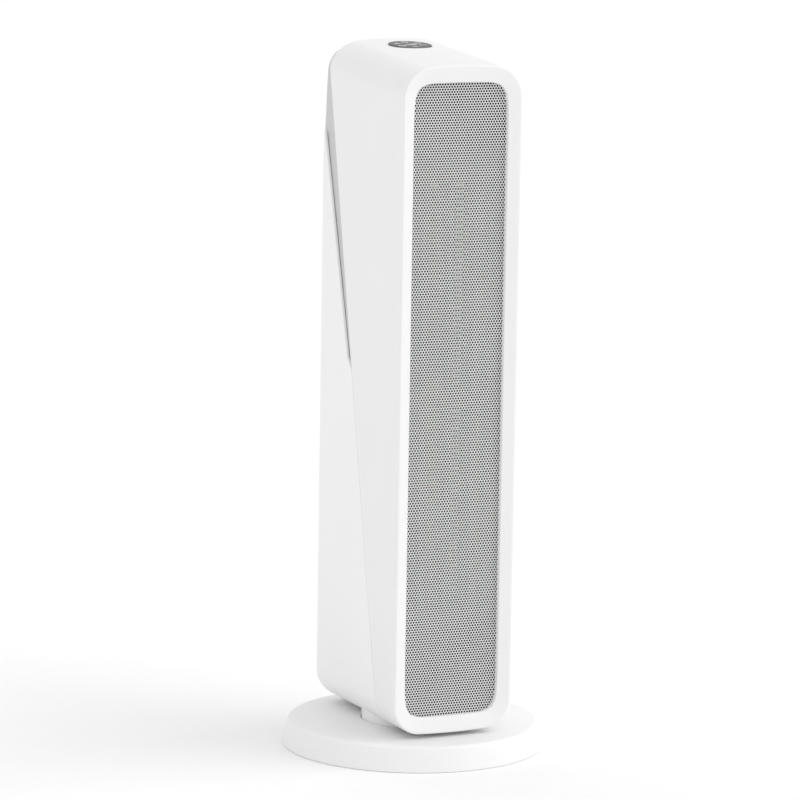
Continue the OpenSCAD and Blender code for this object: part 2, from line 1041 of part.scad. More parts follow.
module tower_lead() {
    color("#e6e6e4")
        translate([side_in - 2.6, 64, floor_z + 20])
            cylinder(r = 2, h = 520, $fn = 32);
}

base_cover();
base_plate();
rubber_feet();
base_screws();
ballast_ring();
pivot_post();
fixed_swing_gear();
glide_ring();
base_lead();
cord_inlet();
tip_switch();
tip_plunger();
tip_spring();
swivel_neck();
neck_screws();
swing_motor();
swing_bracket();
swing_pinion();
inner_housing();
front_shell();
front_bezel();
front_grille();
rear_cover();
cover_screws();
heater_frame();
heater_core_lower();
heater_core_upper();
thermal_cutout();
thermostat();
scroll_housing();
blower_wheel();
blower_shaft();
blower_motor();
motor_bracket();
upper_bearing();
bearing_bracket();
intake_panel();
dust_filter();
rocker_frame();
mains_rocker();
control_disc();
control_board();
power_board();
tower_lead();
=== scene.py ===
import json
import math

import bmesh
import bpy
import numpy as np
from mathutils import Matrix, Vector


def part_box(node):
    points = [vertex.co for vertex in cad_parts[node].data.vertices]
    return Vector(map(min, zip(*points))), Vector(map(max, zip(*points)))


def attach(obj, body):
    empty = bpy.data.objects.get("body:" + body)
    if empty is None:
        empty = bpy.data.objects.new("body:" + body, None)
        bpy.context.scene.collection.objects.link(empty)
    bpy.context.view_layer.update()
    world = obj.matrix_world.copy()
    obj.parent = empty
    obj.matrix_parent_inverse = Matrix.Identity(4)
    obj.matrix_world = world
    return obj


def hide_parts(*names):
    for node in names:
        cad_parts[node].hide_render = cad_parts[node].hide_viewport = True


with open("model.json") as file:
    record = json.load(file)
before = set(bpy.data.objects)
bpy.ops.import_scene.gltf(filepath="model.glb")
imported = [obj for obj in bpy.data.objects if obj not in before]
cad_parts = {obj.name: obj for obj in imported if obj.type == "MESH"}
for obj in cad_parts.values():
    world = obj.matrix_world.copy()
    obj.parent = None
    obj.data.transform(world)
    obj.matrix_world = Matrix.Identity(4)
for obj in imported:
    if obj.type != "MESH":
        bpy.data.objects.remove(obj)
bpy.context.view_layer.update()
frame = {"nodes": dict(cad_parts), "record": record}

# ---------------------------------------------------------------------------
# Dimensions. Everything below is in millimetres, in the frame of the CAD.
# ---------------------------------------------------------------------------
MM = 0.001


def box_mm(node):
    low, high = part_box(node)
    return np.array(low) / MM, np.array(high) / MM


bezel_low, bezel_high = box_mm("front_bezel")
cover_low, cover_high = box_mm("rear_cover")
grille_low, grille_high = box_mm("front_grille")
base_low, base_high = box_mm("base_cover")

HALF = bezel_high[0]                    # half the tower's width
FRONT = bezel_low[1]
REAR = cover_high[1]
BOTTOM = bezel_low[2] - 0.3
COVER_TOP = cover_high[2]
FRONT_TOP = 601.7                       # height of the top at the front edge
SLOPE = math.radians(4.6)               # rise of the top towards the rear
CORNER = 24.0                           # corner radius of the front view
CROWN, CROWN_LOW = 329.0, 650.0         # arching of the top and of the underside
LEAN_FROM = 500.0                       # height at which the rear starts to lean forward
LEAN_R = 413.0
SIDE_EDGE, CREST, HEEL = 9.0, 11.0, 10.0    # rounding at the rear: sides, top, underside
WALL = 2.5
SPLIT = FRONT + 4.0                     # where the bezel ends and the side shell starts
SEAM_TAN = math.tan(math.radians(11.9))
SEAM_LOW = 26.5                         # height at which the seam meets the underside
SEAM_FOOT = -45.6
SLOT_LOW, SLOT_LOW_W, SLOT_TOP_W = 331.0, 7.5, 20.0
SLOT_RISE = 10.0                        # height over which the slot opens to its lower width
HAIR = 0.3                              # half the hair line between the shells
LIP = 0.45                              # rounding of the shells' cut edges
FAR = 900.0                             # beyond the tower on every side
DEPTH = np.array([0.0, 1.0, 0.0])
OUTLET_MID = (grille_low[2] + grille_high[2]) / 2 - 0.5
OUTLET_HALF_W = grille_high[0] - 2.55
OUTLET_HALF_H = (grille_high[2] - grille_low[2]) / 2 - 2.2
OUTLET_SOFT = 7.2                       # how softly the outlet's corners turn


def seam_y(z):
    return SEAM_FOOT + (z - SEAM_LOW) * SEAM_TAN


def seam_line(shift):
    return (seam_y(0) + shift, 0.0), (seam_y(FAR) + shift, FAR)


def top_z(y):
    return FRONT_TOP + (y - FRONT) * math.tan(SLOPE)


# ---------------------------------------------------------------------------
# The tower's outer form, as a field that is negative inside
# ---------------------------------------------------------------------------
def rounded_max(a, b, r):
    """Where both fields are negative, with the edge between them rounded to radius r."""
    u = np.maximum(a + r, 0)
    v = np.maximum(b + r, 0)
    return np.minimum(np.maximum(a, b), -r) + np.hypot(u, v)


def front_fields(x, y, z):
    """Fields for the sides of the front view: left and right, top, underside."""
    reach = np.clip(np.abs(x), 0, 90) ** 2
    crown = CROWN - np.sqrt(CROWN ** 2 - reach)
    top = (z - FRONT_TOP - (y - FRONT) * math.tan(SLOPE) + crown) * math.cos(SLOPE)
    return np.abs(x) - HALF, top, BOTTOM - z + CROWN_LOW - np.sqrt(CROWN_LOW ** 2 - reach)


def front_field(x, y, z):
    side, top, low = front_fields(x, y, z)
    return rounded_max(rounded_max(side, top, CORNER), low, CORNER)


def body_field(x, y, z, side_in, rear_in, edges):
    """The tower moved inwards by side_in round the front view and by rear_in at the rear."""
    side, top, low = (f + side_in for f in front_fields(x, y, z))
    corner = np.maximum(CORNER - side_in, 4)
    ring = rounded_max(rounded_max(side, top, corner), low, corner)
    lean = np.hypot(y - (REAR - LEAN_R), z - LEAN_FROM) - LEAN_R
    rear = np.where(z < LEAN_FROM, y - REAR, lean) + rear_in
    ws, wt, wl = (np.maximum(f + corner, 0) ** 2 for f in (side, top, low))
    total = ws + wt + wl
    r = (edges[0] * ws + edges[1] * wt + edges[2] * wl) / np.maximum(total, 1e-9)
    return rounded_max(ring, rear, np.where(total > 0, r, edges[0]))


def tower_field(x, y, z):
    return body_field(x, y, z, 0.0, 0.0, (SIDE_EDGE, CREST, HEEL))


def outlet_field(x, y, z):
    """Negative inside the outlet: straight sides that turn into each other with no fixed radius."""
    qx = (np.abs(x) - OUTLET_HALF_W) / OUTLET_SOFT
    qz = (np.abs(z - OUTLET_MID) - OUTLET_HALF_H) / OUTLET_SOFT
    return OUTLET_SOFT * np.logaddexp(qx, qz)


def hit(field, start, ray, reach=240.0):
    """Distance along each ray at which the field is zero."""
    low = np.zeros(len(start))
    high = np.full(len(start), reach)
    for _ in range(44):
        mid = (low + high) / 2
        p = start + ray * mid[:, None]
        inside = field(p[:, 0], p[:, 1], p[:, 2]) < 0
        low = np.where(inside, mid, low)
        high = np.where(inside, high, mid)
    return (low + high) / 2


def gradient(field, p, step=0.02):
    """Unit normals of the field at each point."""
    g = np.zeros_like(p)
    for axis in range(3):
        d = np.zeros(3)
        d[axis] = step
        g[:, axis] = field(*(p + d).T) - field(*(p - d).T)
    return g / np.maximum(np.linalg.norm(g, axis=1, keepdims=True), 1e-12)


def skeleton(z0=92.0, z1=530.0, pitch=6.0, rays=144):
    """Starting points on the centre line and directions, once round the front view."""
    count = int(round((z1 - z0) / pitch))
    zs = np.linspace(z0, z1, count + 1)
    fan = np.linspace(0, math.pi, rays + 1)[1:-1]
    start, ray = [], []
    for z in zs:
        start.append((0, 0, z))
        ray.append((1, 0, 0))
    for a in fan:
        start.append((0, 0, z1))
        ray.append((math.cos(a), 0, math.sin(a)))
    for z in zs[::-1]:
        start.append((0, 0, z))
        ray.append((-1, 0, 0))
    for a in fan:
        start.append((0, 0, z0))
        ray.append((-math.cos(a), 0, -math.sin(a)))
    return np.array(start, float), np.array(ray, float)


def tower_grid(field, front_y):
    """Rows of points over the tower's skin, from front_y round to the middle of the rear."""
    start, ray = skeleton()
    pivot_y, inward = 44.0, 30.0
    rows = []
    # along the sides
    for y in np.linspace(front_y, pivot_y, 22):
        s = start + DEPTH * y
        rows.append(s + ray * hit(field, s, ray)[:, None])
    # round the rear edges, as a fan from points that lie inward of the skin
    s = start + DEPTH * pivot_y
    reach = hit(field, s, ray)
    pivot = s + ray * (reach - inward)[:, None]
    for a in np.radians(np.linspace(0, 90, 81)[1:]):
        d = ray * math.cos(a) + DEPTH * math.sin(a)
        rows.append(pivot + d * hit(field, pivot, d)[:, None])
    # across the rear to its middle
    for k in np.linspace(1, 0, 10)[1:]:
        s = start + DEPTH * pivot_y + ray * ((reach - inward) * k)[:, None]
        d = np.repeat(DEPTH[None], len(s), 0)
        rows.append(s + d * hit(field, s, d)[:, None])
    return rows


def grid_faces(rows, n):
    """Quads between rows of n points each, closed round every row."""
    faces = []
    for i in range(rows - 1):
        for j in range(n):
            k = (j + 1) % n
            faces.append((i * n + j, (i + 1) * n + j, (i + 1) * n + k, i * n + k))
    return faces


def tube_faces(rows, n):
    """Quads as in grid_faces, and between the last row and the first."""
    last = (rows - 1) * n
    return grid_faces(rows, n) + [(last + j, j, (j + 1) % n, last + (j + 1) % n) for j in range(n)]


def in_polygon(poly, p):
    """Which of the (y, z) points lie inside the polygon."""
    inside = np.zeros(len(p), bool)
    for (y1, z1), (y2, z2) in zip(poly, np.roll(poly, -1, axis=0)):
        if z1 == z2:
            continue
        cross = ((p[:, 1] >= z1) != (p[:, 1] >= z2))
        at = y1 + (p[:, 1] - z1) * (y2 - y1) / (z2 - z1)
        inside ^= cross & (p[:, 0] < at)
    return inside


def shrink(poly, amounts):
    """The polygon with each edge moved inwards by its own amount, and its edges' outward normals.

    Its corners go anticlockwise.
    """
    poly = np.array(poly, float)
    n = len(poly)
    lines = []
    for i in range(n):
        a, b = poly[i], poly[(i + 1) % n]
        d = (b - a) / np.linalg.norm(b - a)
        m = np.array([d[1], -d[0]])
        lines.append((a - m * amounts[i], d, m))
    out = []
    for i in range(n):
        p, d, _ = lines[i - 1]
        q, e, _ = lines[i]
        t = np.linalg.solve(np.array([d, -e]).T, q - p)[0]
        out.append(p + d * t)
    return np.array(out), [l[2] for l in lines]


def cut_skin(rows, poly, lips, field, thick):
    """Cuts the skin to a polygon of the side view, rounds its edges and gives it a thickness.

    lips holds the rounding of each of the polygon's edges. Returns points and faces.
    """
    n = len(rows[0])
    bm = bmesh.new()
    verts = [bm.verts.new(p) for p in np.concatenate(rows)]
    for f in grid_faces(len(rows), n):
        bm.faces.new([verts[i] for i in f])
    bmesh.ops.remove_doubles(bm, verts=bm.verts, dist=0.01)
    poly, normals = shrink(poly, lips)
    for i, m in enumerate(normals):
        co = poly[i]
        if abs(co[0]) > FAR / 3 and abs(m[0]) > 0.99:
            continue    # an edge beyond the tower cuts nothing
        bmesh.ops.bisect_plane(bm, geom=bm.verts[:] + bm.edges[:] + bm.faces[:], dist=0.002,
                               plane_co=(0, co[0], co[1]), plane_no=(0, m[0], m[1]))
    mid = np.array([f.calc_center_median() for f in bm.faces])
    keep = in_polygon(poly, mid[:, 1:])
    bmesh.ops.delete(bm, geom=[f for f, k in zip(bm.faces, keep) if not k], context="FACES")
    bm.verts.index_update()
    p = np.array([v.co for v in bm.verts], float)
    # points that a cut added lie on chords: bring them back onto the skin
    nrm = gradient(field, p)
    for _ in range(3):
        p = p - nrm * np.clip(field(*p.T), -0.5, 0.5)[:, None]
    faces = [[v.index for v in f.verts] for f in bm.faces]
    edges = [e for e in bm.edges if len(e.link_faces) == 1]
    out = [p, p - nrm * thick]
    count = len(p)
    solid = faces + [[v + count for v in reversed(f)] for f in faces]
    # the open edges get a rounded lip and a wall that joins the outer and the inner side
    if edges:
        ids = sorted({v.index for e in edges for v in e.verts})
        where = {v: i for i, v in enumerate(ids)}
        q = p[ids]
        push = np.zeros_like(q)
        radius = np.zeros(len(q))
        hits = np.zeros(len(q))
        slack = 0.25
        for i, m in enumerate(normals):
            a, b = poly[i], poly[(i + 1) % len(poly)]
            d = b - a
            length = np.linalg.norm(d)
            rel = q[:, 1:] - a
            along = rel @ d / length
            off = np.abs(rel @ m)
            near = (off < slack) & (along > -slack) & (along < length + slack)
            push[near] += np.array([0, m[0], m[1]])
            radius[near] += lips[i]
            hits[near] += 1
        radius = radius / np.maximum(hits, 1)
        qn = nrm[ids]
        t = push - qn * (push * qn).sum(1, keepdims=True)
        t /= np.maximum(np.linalg.norm(t, axis=1, keepdims=True), 1e-9)
        radius = radius[:, None]
        chain = []
        for a in np.radians([25, 50, 70, 90]):
            chain.append(q + t * radius * math.sin(a) - qn * radius * (1 - math.cos(a)))
        chain.append(q + t * radius - qn * (thick - 0.3))
        first = 2 * count
        out += chain
        span = len(ids)
        for e in edges:
            v1, v2 = e.verts
            face = e.link_faces[0]
            for loop in face.loops:
                if loop.edge == e:
                    v1, v2 = loop.vert, loop.link_loop_next.vert
            a, b = where[v1.index], where[v2.index]
            ladders = []
            for v, at in ((v1.index, a), (v2.index, b)):
                ladders.append([v] + [first + r * span + at for r in range(len(chain))] + [v + count])
            for a1, a2, b1, b2 in zip(ladders[0], ladders[0][1:], ladders[1], ladders[1][1:]):
                solid.append([b1, a1, a2, b2])
    bm.free()
    return np.concatenate(out), solid


# ---------------------------------------------------------------------------
# Meshes and objects
# ---------------------------------------------------------------------------
def new_mesh(name, verts, faces, merge=0.0):
    """A mesh from points in millimetres. merge joins points closer than that."""
    mesh = bpy.data.meshes.new(name)
    bm = bmesh.new()
    vs = [bm.verts.new(Vector(v) * MM) for v in verts]
    for f in faces:
        try:
            bm.faces.new([vs[i] for i in f])
        except ValueError:
            pass
    if merge:
        bmesh.ops.remove_doubles(bm, verts=bm.verts, dist=merge * MM)
    bmesh.ops.recalc_face_normals(bm, faces=bm.faces)
    bm.to_mesh(mesh)
    bm.free()
    return mesh


def add(name, mesh, body, material, nodes=(), sharp=38):
    """A visible piece that rides on a body and takes the place of CAD nodes."""
    obj = bpy.data.objects.new(name, mesh)
    bpy.context.scene.collection.objects.link(obj)
    mesh.shade_smooth()
    mesh.set_sharp_from_angle(angle=math.radians(sharp))
    mesh.materials.clear()
    mesh.materials.append(material)
    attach(obj, body)
    if nodes:
        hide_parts(*nodes)
    return obj


def baked(obj):
    """The object's mesh with its modifiers applied."""
    graph = bpy.context.evaluated_depsgraph_get()
    mesh = bpy.data.meshes.new_from_object(obj.evaluated_get(graph), depsgraph=graph)
    old = obj.data
    obj.modifiers.clear()
    obj.data = mesh
    bpy.data.meshes.remove(old)
    return mesh


def carve(mesh, tools, operation="DIFFERENCE"):
    """Cuts the tool meshes out of mesh, or joins them to it with UNION."""
    obj = bpy.data.objects.new("work", mesh)
    bpy.context.scene.collection.objects.link(obj)
    made = []
    for tool in tools:
        t = bpy.data.objects.new("tool", tool)
        bpy.context.scene.collection.objects.link(t)
        made.append(t)
        m = obj.modifiers.new("cut", "BOOLEAN")
        m.operation = operation
        m.solver = "EXACT"
        m.object = t
    result = baked(obj)
    bpy.data.objects.remove(obj)
    for t in made:
        data = t.data
        bpy.data.objects.remove(t)
        bpy.data.meshes.remove(data)
    return result


def joined(name, meshes):
    """One mesh out of several."""
    bm = bmesh.new()
    for mesh in meshes:
        bm.from_mesh(mesh)
        bpy.data.meshes.remove(mesh)
    mesh = bpy.data.meshes.new(name)
    bm.to_mesh(mesh)
    bm.free()
    return mesh


def prism(outline, low, high, axis):
    """A closed prism over a 2D outline, along axis 0, 1 or 2."""
    n = len(outline)
    verts = []
    for level in (low, high):
        for a, b in outline:
            v = [a, b]
            v.insert(axis, level)
            verts.append(v)
    faces = [list(range(n)), list(range(n, 2 * n))]
    for i in range(n):
        j = (i + 1) % n
        faces.append([i, j, n + j, n + i])
    return new_mesh("tool", verts, faces)


def arc(cx, cy, r, a0, a1, steps):
    """Points on an arc from a0 to a1 degrees, both ends included."""
    turns = [math.radians(a0 + (a1 - a0) * i / steps) for i in range(steps + 1)]
    return [(cx + r * math.cos(a), cy + r * math.sin(a)) for a in turns]


def rounded_rect(w, h, r, cx=0.0, cy=0.0, steps=6):
    pts = []
    for sx, sy, a0 in ((1, 1, 0), (-1, 1, 90), (-1, -1, 180), (1, -1, 270)):
        pts += arc(cx + sx * (w / 2 - r), cy + sy * (h / 2 - r), r, a0, a0 + 90, steps)
    return pts


def circle_points(r, cx=0.0, cy=0.0, n=64):
    return arc(cx, cy, r, 0, 360, n)[:-1]


def lathe(name, profile, n=256):
    """A closed ring or disc turned about Z from a closed (r, z) profile."""
    verts, faces = [], []
    m = len(profile)
    for i in range(n):
        a = 2 * math.pi * i / n
        for r, z in profile:
            verts.append((r * math.cos(a), r * math.sin(a), z))
    for i in range(n):
        k = (i + 1) % n
        for j in range(m):
            l = (j + 1) % m
            faces.append((i * m + j, i * m + l, k * m + l, k * m + j))
    return new_mesh(name, verts, faces, merge=0.0005)


def bevelled_copy(node, width, segments=3, angle=35):
    """The CAD node's mesh with its edges rounded, as a new mesh."""
    mesh = frame["nodes"][node].data.copy()
    bm = bmesh.new()
    bm.from_mesh(mesh)
    bmesh.ops.remove_doubles(bm, verts=bm.verts, dist=0.00001)
    bmesh.ops.dissolve_limit(bm, angle_limit=math.radians(0.5), verts=bm.verts, edges=bm.edges)
    bm.to_mesh(mesh)
    bm.free()
    obj = bpy.data.objects.new("work", mesh)
    bpy.context.scene.collection.objects.link(obj)
    m = obj.modifiers.new("edge", "BEVEL")
    m.width = width * MM
    m.segments = segments
    m.limit_method = "ANGLE"
    m.angle_limit = math.radians(angle)
    m.miter_outer = "MITER_ARC"
    m.use_clamp_overlap = True
    result = baked(obj)
    bpy.data.objects.remove(obj)
    return result


# ---------------------------------------------------------------------------
# Materials
# ---------------------------------------------------------------------------
def material(name, color, rough, metal=0.0, vary=0.03, rough_vary=0.05, grain=0.0, grain_scale=900.0,
             coat=0.0, edge=0.04, patch_scale=14.0, streak=None, specular=0.5, sheen=0.0, ior=1.46):
    """A finish with mottled colour, uneven gloss, moulded or brushed grain and lighter edges, partly wear and
    partly a painted highlight.
    """
    mat = bpy.data.materials.new(name)
    mat.use_nodes = True
    tree = mat.node_tree
    nodes, links = tree.nodes, tree.links
    nodes.clear()
    out = nodes.new("ShaderNodeOutputMaterial")
    shader = nodes.new("ShaderNodeBsdfPrincipled")
    links.new(shader.outputs[0], out.inputs[0])
    shader.inputs["Metallic"].default_value = metal
    shader.inputs["IOR"].default_value = ior
    shader.inputs["Specular IOR Level"].default_value = specular
    shader.inputs["Coat Weight"].default_value = coat
    shader.inputs["Coat Roughness"].default_value = 0.12
    shader.inputs["Sheen Weight"].default_value = sheen
    place = nodes.new("ShaderNodeTexCoord")
    stretch = nodes.new("ShaderNodeMapping")
    stretch.inputs["Scale"].default_value = streak or (1, 1, 1)
    links.new(place.outputs["Object"], stretch.inputs["Vector"])

    patch = nodes.new("ShaderNodeTexNoise")
    patch.inputs["Scale"].default_value = patch_scale
    patch.inputs["Detail"].default_value = 4
    patch.inputs["Roughness"].default_value = 0.6
    links.new(stretch.outputs[0], patch.inputs["Vector"])
    fine = nodes.new("ShaderNodeTexNoise")
    fine.inputs["Scale"].default_value = grain_scale
    fine.inputs["Detail"].default_value = 2
    links.new(stretch.outputs[0], fine.inputs["Vector"])

    tone = nodes.new("ShaderNodeMapRange")
    tone.inputs["From Min"].default_value = 0.3
    tone.inputs["From Max"].default_value = 0.7
    tone.inputs["To Min"].default_value = 1 - vary
    tone.inputs["To Max"].default_value = 1 + vary * 0.4
    links.new(patch.outputs["Fac"], tone.inputs["Value"])
    base = nodes.new("ShaderNodeMix")
    base.data_type = "RGBA"
    base.blend_type = "MULTIPLY"
    base.inputs["Factor"].default_value = 1.0
    base.inputs["A"].default_value = (*color, 1)
    links.new(tone.outputs[0], base.inputs["B"])

    # Pointy edges are painted lighter: partly wear, partly a painted highlight along the edges.
    shape = nodes.new("ShaderNodeNewGeometry")
    edge_highlight_and_wear = nodes.new("ShaderNodeMapRange")
    edge_highlight_and_wear.inputs["From Min"].default_value = 0.53
    edge_highlight_and_wear.inputs["From Max"].default_value = 0.62
    edge_highlight_and_wear.inputs["To Min"].default_value = 0.0
    edge_highlight_and_wear.inputs["To Max"].default_value = edge * 4
    links.new(shape.outputs["Pointiness"], edge_highlight_and_wear.inputs["Value"])
    edge_highlight_and_rub = nodes.new("ShaderNodeMath")
    edge_highlight_and_rub.operation = "MULTIPLY"
    links.new(edge_highlight_and_wear.outputs[0], edge_highlight_and_rub.inputs[0])
    links.new(patch.outputs["Fac"], edge_highlight_and_rub.inputs[1])
    lit = nodes.new("ShaderNodeMix")
    lit.data_type = "RGBA"
    lit.inputs["B"].default_value = tuple(min(1.0, c * 1.15 + 0.05) for c in color) + (1,)
    links.new(edge_highlight_and_rub.outputs[0], lit.inputs["Factor"])
    links.new(base.outputs["Result"], lit.inputs["A"])
    links.new(lit.outputs["Result"], shader.inputs["Base Color"])

    gloss = nodes.new("ShaderNodeMapRange")
    gloss.inputs["From Min"].default_value = 0.25
    gloss.inputs["From Max"].default_value = 0.75
    gloss.inputs["To Min"].default_value = max(0.02, rough - rough_vary)
    gloss.inputs["To Max"].default_value = min(1.0, rough + rough_vary)
    blend = nodes.new("ShaderNodeMath")
    blend.operation = "MULTIPLY_ADD"
    blend.inputs[1].default_value = 0.3
    links.new(fine.outputs["Fac"], blend.inputs[0])
    soft = nodes.new("ShaderNodeMath")
    soft.operation = "MULTIPLY"
    soft.inputs[1].default_value = 0.7
    links.new(patch.outputs["Fac"], soft.inputs[0])
    links.new(soft.outputs[0], blend.inputs[2])
    links.new(blend.outputs[0], gloss.inputs["Value"])
    links.new(gloss.outputs[0], shader.inputs["Roughness"])

    if grain:
        bump = nodes.new("ShaderNodeBump")
        bump.inputs["Strength"].default_value = grain
        bump.inputs["Distance"].default_value = 0.0002
        links.new(fine.outputs["Fac"], bump.inputs["Height"])
        links.new(bump.outputs[0], shader.inputs["Normal"])
    return mat


def weave(name, color, pitch=1.2):
    """A plastic filter cloth: crossed threads with open gaps shown as dark."""
    mat = material(name, color, 0.75, vary=0.15, grain=0.0)
    tree = mat.node_tree
    nodes, links = tree.nodes, tree.links
    shader = next(n for n in nodes if n.type == "BSDF_PRINCIPLED")
    place = next(n for n in nodes if n.type == "TEX_COORD")
    parts = []
    for axis in ("X", "Z"):
        wave = nodes.new("ShaderNodeTexWave")
        wave.wave_type = "BANDS"
        wave.bands_direction = axis
        wave.inputs["Scale"].default_value = 1000 / pitch / 6.2832 * 2
        links.new(place.outputs["Object"], wave.inputs["Vector"])
        parts.append(wave)
    both = nodes.new("ShaderNodeMath")
    both.operation = "MAXIMUM"
    links.new(parts[0].outputs["Fac"], both.inputs[0])
    links.new(parts[1].outputs["Fac"], both.inputs[1])
    bump = nodes.new("ShaderNodeBump")
    bump.inputs["Strength"].default_value = 0.9
    bump.inputs["Distance"].default_value = 0.0006
    links.new(both.outputs[0], bump.inputs["Height"])
    links.new(bump.outputs[0], shader.inputs["Normal"])
    shade = nodes.new("ShaderNodeMix")
    shade.data_type = "RGBA"
    shade.inputs["A"].default_value = tuple(c * 0.15 for c in color) + (1,)
    links.new(both.outputs[0], shade.inputs["Factor"])
    old = next(l for l in links if l.to_socket == shader.inputs["Base Color"])
    links.new(old.from_socket, shade.inputs["B"])
    links.new(shade.outputs["Result"], shader.inputs["Base Color"])
    return mat


shell_white = material("shell_white", (0.87, 0.87, 0.868), 0.40, vary=0.012, rough_vary=0.05, grain=0.05,
                       grain_scale=1600, edge=0.02)
# The shell's white plastic painted lighter: painted light for the cover's side, which is brighter than the
# shell's side though both face the same way here.
cover_white_lit = material("cover_white_lit", (0.91, 0.91, 0.908), 0.42, vary=0.012, rough_vary=0.05, grain=0.05,
                       grain_scale=1600, edge=0.02)
base_white = material("base_white", (0.885, 0.885, 0.883), 0.42, vary=0.015, rough_vary=0.06, grain=0.06,
                      grain_scale=1500, edge=0.02)
grey_plastic = material("grey_plastic", (0.6, 0.603, 0.606), 0.5, vary=0.03, grain=0.12, grain_scale=1300)
grille_white = material("grille_white", (0.86, 0.86, 0.858), 0.42, vary=0.03, rough_vary=0.08, grain=0.1,
                        grain_scale=2400, edge=0.02)
black_plastic = material("black_plastic", (0.035, 0.036, 0.038), 0.45, vary=0.12, grain=0.15, grain_scale=1200)
cream_plastic = material("cream_plastic", (0.72, 0.69, 0.6), 0.42, vary=0.05, grain=0.08)
heat_plastic = material("heat_plastic", (0.02, 0.02, 0.021), 0.6, vary=0.1, grain=0.25, grain_scale=700)
rubber = material("rubber", (0.025, 0.025, 0.025), 0.8, vary=0.2, rough_vary=0.1, grain=0.3, grain_scale=800)
rubber_grey = material("rubber_grey", (0.55, 0.55, 0.54), 0.7, vary=0.08, grain=0.2, grain_scale=900)
sheath = material("lead_sheath", (0.72, 0.72, 0.7), 0.5, vary=0.05, grain=0.1)
steel = material("zinc_steel", (0.6, 0.61, 0.63), 0.32, metal=1.0, vary=0.12, rough_vary=0.12, grain=0.15,
                 streak=(1, 1, 12), edge=0.1)
iron = material("cast_iron", (0.1, 0.1, 0.105), 0.7, metal=0.6, vary=0.3, rough_vary=0.15, grain=0.6,
                grain_scale=500)
# Near black: a black coat on the fins is assumed, and the near-black also paints the shade seen through the
# grille holes.
dark_fins = material("dark_fins", (0.03, 0.03, 0.031), 0.55, metal=0.2, vary=0.15, rough_vary=0.1, grain=0.2,
                     grain_scale=1500)
brass = material("brass", (0.68, 0.5, 0.22), 0.3, metal=1.0, vary=0.12, rough_vary=0.1, grain=0.08)
filter_cloth = weave("filter_cloth", (0.06, 0.062, 0.068))
board_green = material("solder_mask", (0.02, 0.12, 0.055), 0.3, vary=0.15, grain=0.1, grain_scale=700, coat=0.3)
dark_glass = material("dark_glass", (0.095, 0.097, 0.1), 0.3, vary=0.1, rough_vary=0.05, grain=0.02, edge=0.0,
                      specular=0.12, ior=1.35)
print_white = material("print_white", (0.8, 0.8, 0.79), 0.5, vary=0.06, grain=0.05)

by_slot = {
    "white_plastic": shell_white, "grey_plastic": grey_plastic, "black_plastic": black_plastic,
    "cream_plastic": cream_plastic, "heat_plastic": heat_plastic, "rubber": rubber, "rubber_grey": rubber_grey,
    "lead_sheath": sheath, "steel": steel, "cast_iron": iron, "dark_fins": dark_fins, "brass": brass,
    "painted_grille": grille_white, "filter_mesh": filter_cloth, "dark_glass": dark_glass,
    "circuit_board": board_green,
}
slot_of = {s["node"]: s["material_slot"] for s in frame["record"]["subparts"]}
for node, obj in frame["nodes"].items():
    mat = by_slot[slot_of[node]]
    if not obj.material_slots:
        obj.data.materials.append(mat)
    for s in obj.material_slots:
        s.material = mat

# ---------------------------------------------------------------------------
# Front shell
# ---------------------------------------------------------------------------
DISC_Y, DISC_R = 28.0, 19.0
DISC_GAP = 0.18

skin = tower_grid(tower_field, SPLIT)
low, high = seam_line(-HAIR)
shell_region = [(SPLIT - 0.05, 0), low, high, (SPLIT - 0.05, FAR)]
verts, faces = cut_skin(skin, shell_region, [0, LIP, 0, 0], tower_field, WALL)
shell_mesh = new_mesh("front_shell", verts, faces)

on_top = Matrix.Translation(Vector((0, DISC_Y, top_z(DISC_Y))) * MM) @ Matrix.Rotation(SLOPE, 4, "X")
disc_seat = prism(circle_points(DISC_R + DISC_GAP, n=128), -1.7, 8, 2)
disc_seat.transform(on_top)
shell_mesh = carve(shell_mesh, [disc_seat])
add("front_shell_skin", shell_mesh, "tower", shell_white, ["front_shell"])

# ---------------------------------------------------------------------------
# Bezel: outer band, rim, dished face, inner edge
# ---------------------------------------------------------------------------
RIM = 1.3
DISH = 3.0                              # depth of the dished face
INNER_R = 1.4                           # rounding of the edge round the outlet
BEZEL_BACK = SPLIT + 0.6
BEZEL_WALL = 2.7
SHEET_Y = SPLIT + 3.4                   # where the perforated sheet starts, behind the outlet's wall
OUTLET_WALL = 1.2
QUARTER = np.radians([15, 30, 45, 60, 75, 90])
start, ray = skeleton()


def opening(grow):
    """The outlet's outline, moved outwards by grow."""
    edge = start + ray * hit(outlet_field, start, ray)[:, None]
    return edge + gradient(outlet_field, edge) * grow


bezel_rows = []


def bezel_row(points, y):
    points = np.array(points)
    points[:, 1] = y
    bezel_rows.append(points)


def outer(y, inset):
    """The front outline at depth y, moved inwards by inset."""
    s = start + DEPTH * y
    return start + ray * hit(lambda *p: front_field(*p) + inset, s, ray)[:, None]


